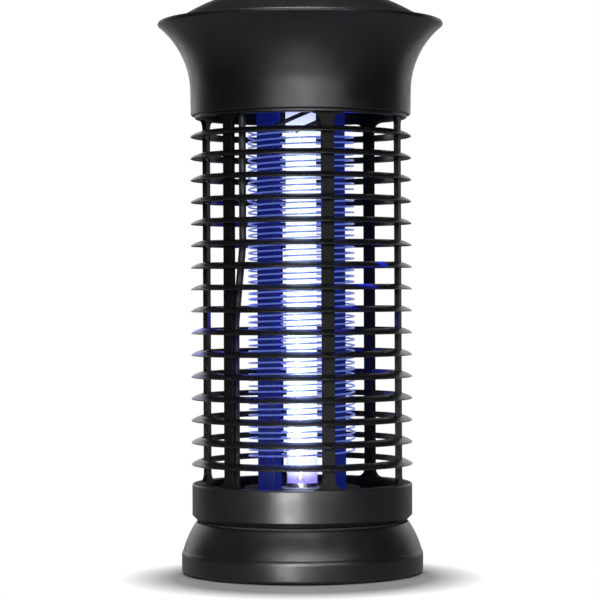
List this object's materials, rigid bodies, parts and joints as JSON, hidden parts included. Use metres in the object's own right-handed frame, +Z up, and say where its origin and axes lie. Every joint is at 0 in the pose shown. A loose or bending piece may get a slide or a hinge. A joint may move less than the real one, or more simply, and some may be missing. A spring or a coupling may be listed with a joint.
{
  "type": "bug zapper",
  "caption": "Standing electric bug zapper: flared hood over a louvred round cage, tube lamp inside a wound wire grid, and a twist-off foot with a catch tray.",
  "frame": {"origin": "on the floor plane, under the lamp's axis, which is the centre of the foot", "axes": "+Z up along the lamp; +X along the hanging loop's hinge; +Y towards the cord entry at the back"},
  "size_m": [0.1504, 0.1504, 0.3204],
  "materials": {
    "abs_black": "satin",
    "abs_foot": "satin",
    "tray_plastic": "satin",
    "pad_rubber": "matte",
    "seal_rubber": "matte",
    "lamp_glass": "polished",
    "lamp_metal": "satin",
    "pin_brass": "satin",
    "holder_white": "satin",
    "carrier_black": "satin",
    "grid_wire": "satin",
    "loop_steel": "satin",
    "screw_steel": "satin",
    "lead_black": "matte",
    "lead_red": "matte",
    "board_green": "satin",
    "ferrite": "matte",
    "copper": "satin",
    "film_red": "satin",
    "diode_black": "satin",
    "block_white": "satin"
  },
  "bodies": {
    "base": {"base_foot": "abs_foot", "foot_pads": "pad_rubber", "catch_tray": "tray_plastic"},
    "seal": {"base_seal": "seal_rubber"},
    "housing": {"base_ring": "abs_black", "cage_ribs": "abs_black", "cage_top_ring": "abs_black", "louvre_rings": "abs_black", "hood": "abs_black", "dome_cover": "abs_black", "hang_bracket": "abs_black", "bracket_screws": "screw_steel", "lamp_tube": "lamp_glass", "lamp_caps": "lamp_metal", "lamp_pins": "pin_brass", "lower_lamp_holder": "holder_white", "upper_lamp_holder": "holder_white", "carrier": "carrier_black", "grid_top_plate": "carrier_black", "grid_posts": "carrier_black", "electrode_live": "grid_wire", "electrode_return": "grid_wire", "grid_leads": "lead_red", "lamp_lead": "lead_black", "circuit_board": "board_green", "board_screws": "screw_steel", "transformer": "ferrite", "ballast_coil": "copper", "capacitors": "film_red", "diodes": "diode_black", "terminal_block": "block_white", "supply_leads": "lead_black", "cord_gland": "abs_black"},
    "loop": {"hang_loop": "loop_steel"}
  },
  "joints": [
    {"name": "housing_twist", "type": "hinge", "parent": "base", "child": "seal", "pos_m": [0, 0, 0.027], "axis": [0, 0, 1], "range_deg": [0, 90]},
    {"name": "housing_lift", "type": "slide", "parent": "seal", "child": "housing", "axis": [0, 0, 1], "range_m": [0, 0.01351]},
    {"name": "loop_hinge", "type": "hinge", "parent": "housing", "child": "loop", "pos_m": [0, 0, 0.3152], "axis": [1, 0, 0], "range_deg": [0, 196]}
  ],
  "couplings": [
    {"joint": "housing_lift", "follows": "housing_twist", "m_per_rad": 0.0085944}
  ]
}
